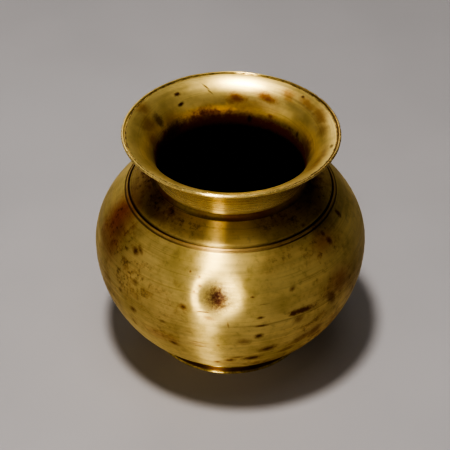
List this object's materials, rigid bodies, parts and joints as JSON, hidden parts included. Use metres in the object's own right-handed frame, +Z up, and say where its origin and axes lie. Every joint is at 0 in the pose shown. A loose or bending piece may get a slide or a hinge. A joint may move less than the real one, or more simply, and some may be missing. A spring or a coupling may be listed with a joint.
{
  "type": "kalash pot",
  "caption": "Round-bellied water pot with a wide flared mouth, short waisted neck, turned shoulder lines, low turned foot and one dent.",
  "frame": {"origin": "on the surface that the pot stands on, under the middle of its foot", "axes": "+Z up along the axis of the pot; the dent in the shoulder faces -Y"},
  "size_m": [0.15, 0.15, 0.1356],
  "materials": {
    "beaten_brass": "worn polish over fine turning lines, brown in the hollows",
    "turned_brass": "turned and polished, worn bright on the edges",
    "spelter": "dull brown oxide"
  },
  "bodies": {
    "root": {"neck_collar": "turned_brass", "shoulder_shell": "beaten_brass", "bowl_shell": "beaten_brass", "foot_ring": "turned_brass", "neck_braze": "spelter", "belly_braze": "spelter", "foot_braze": "spelter"}
  },
  "joints": []
}
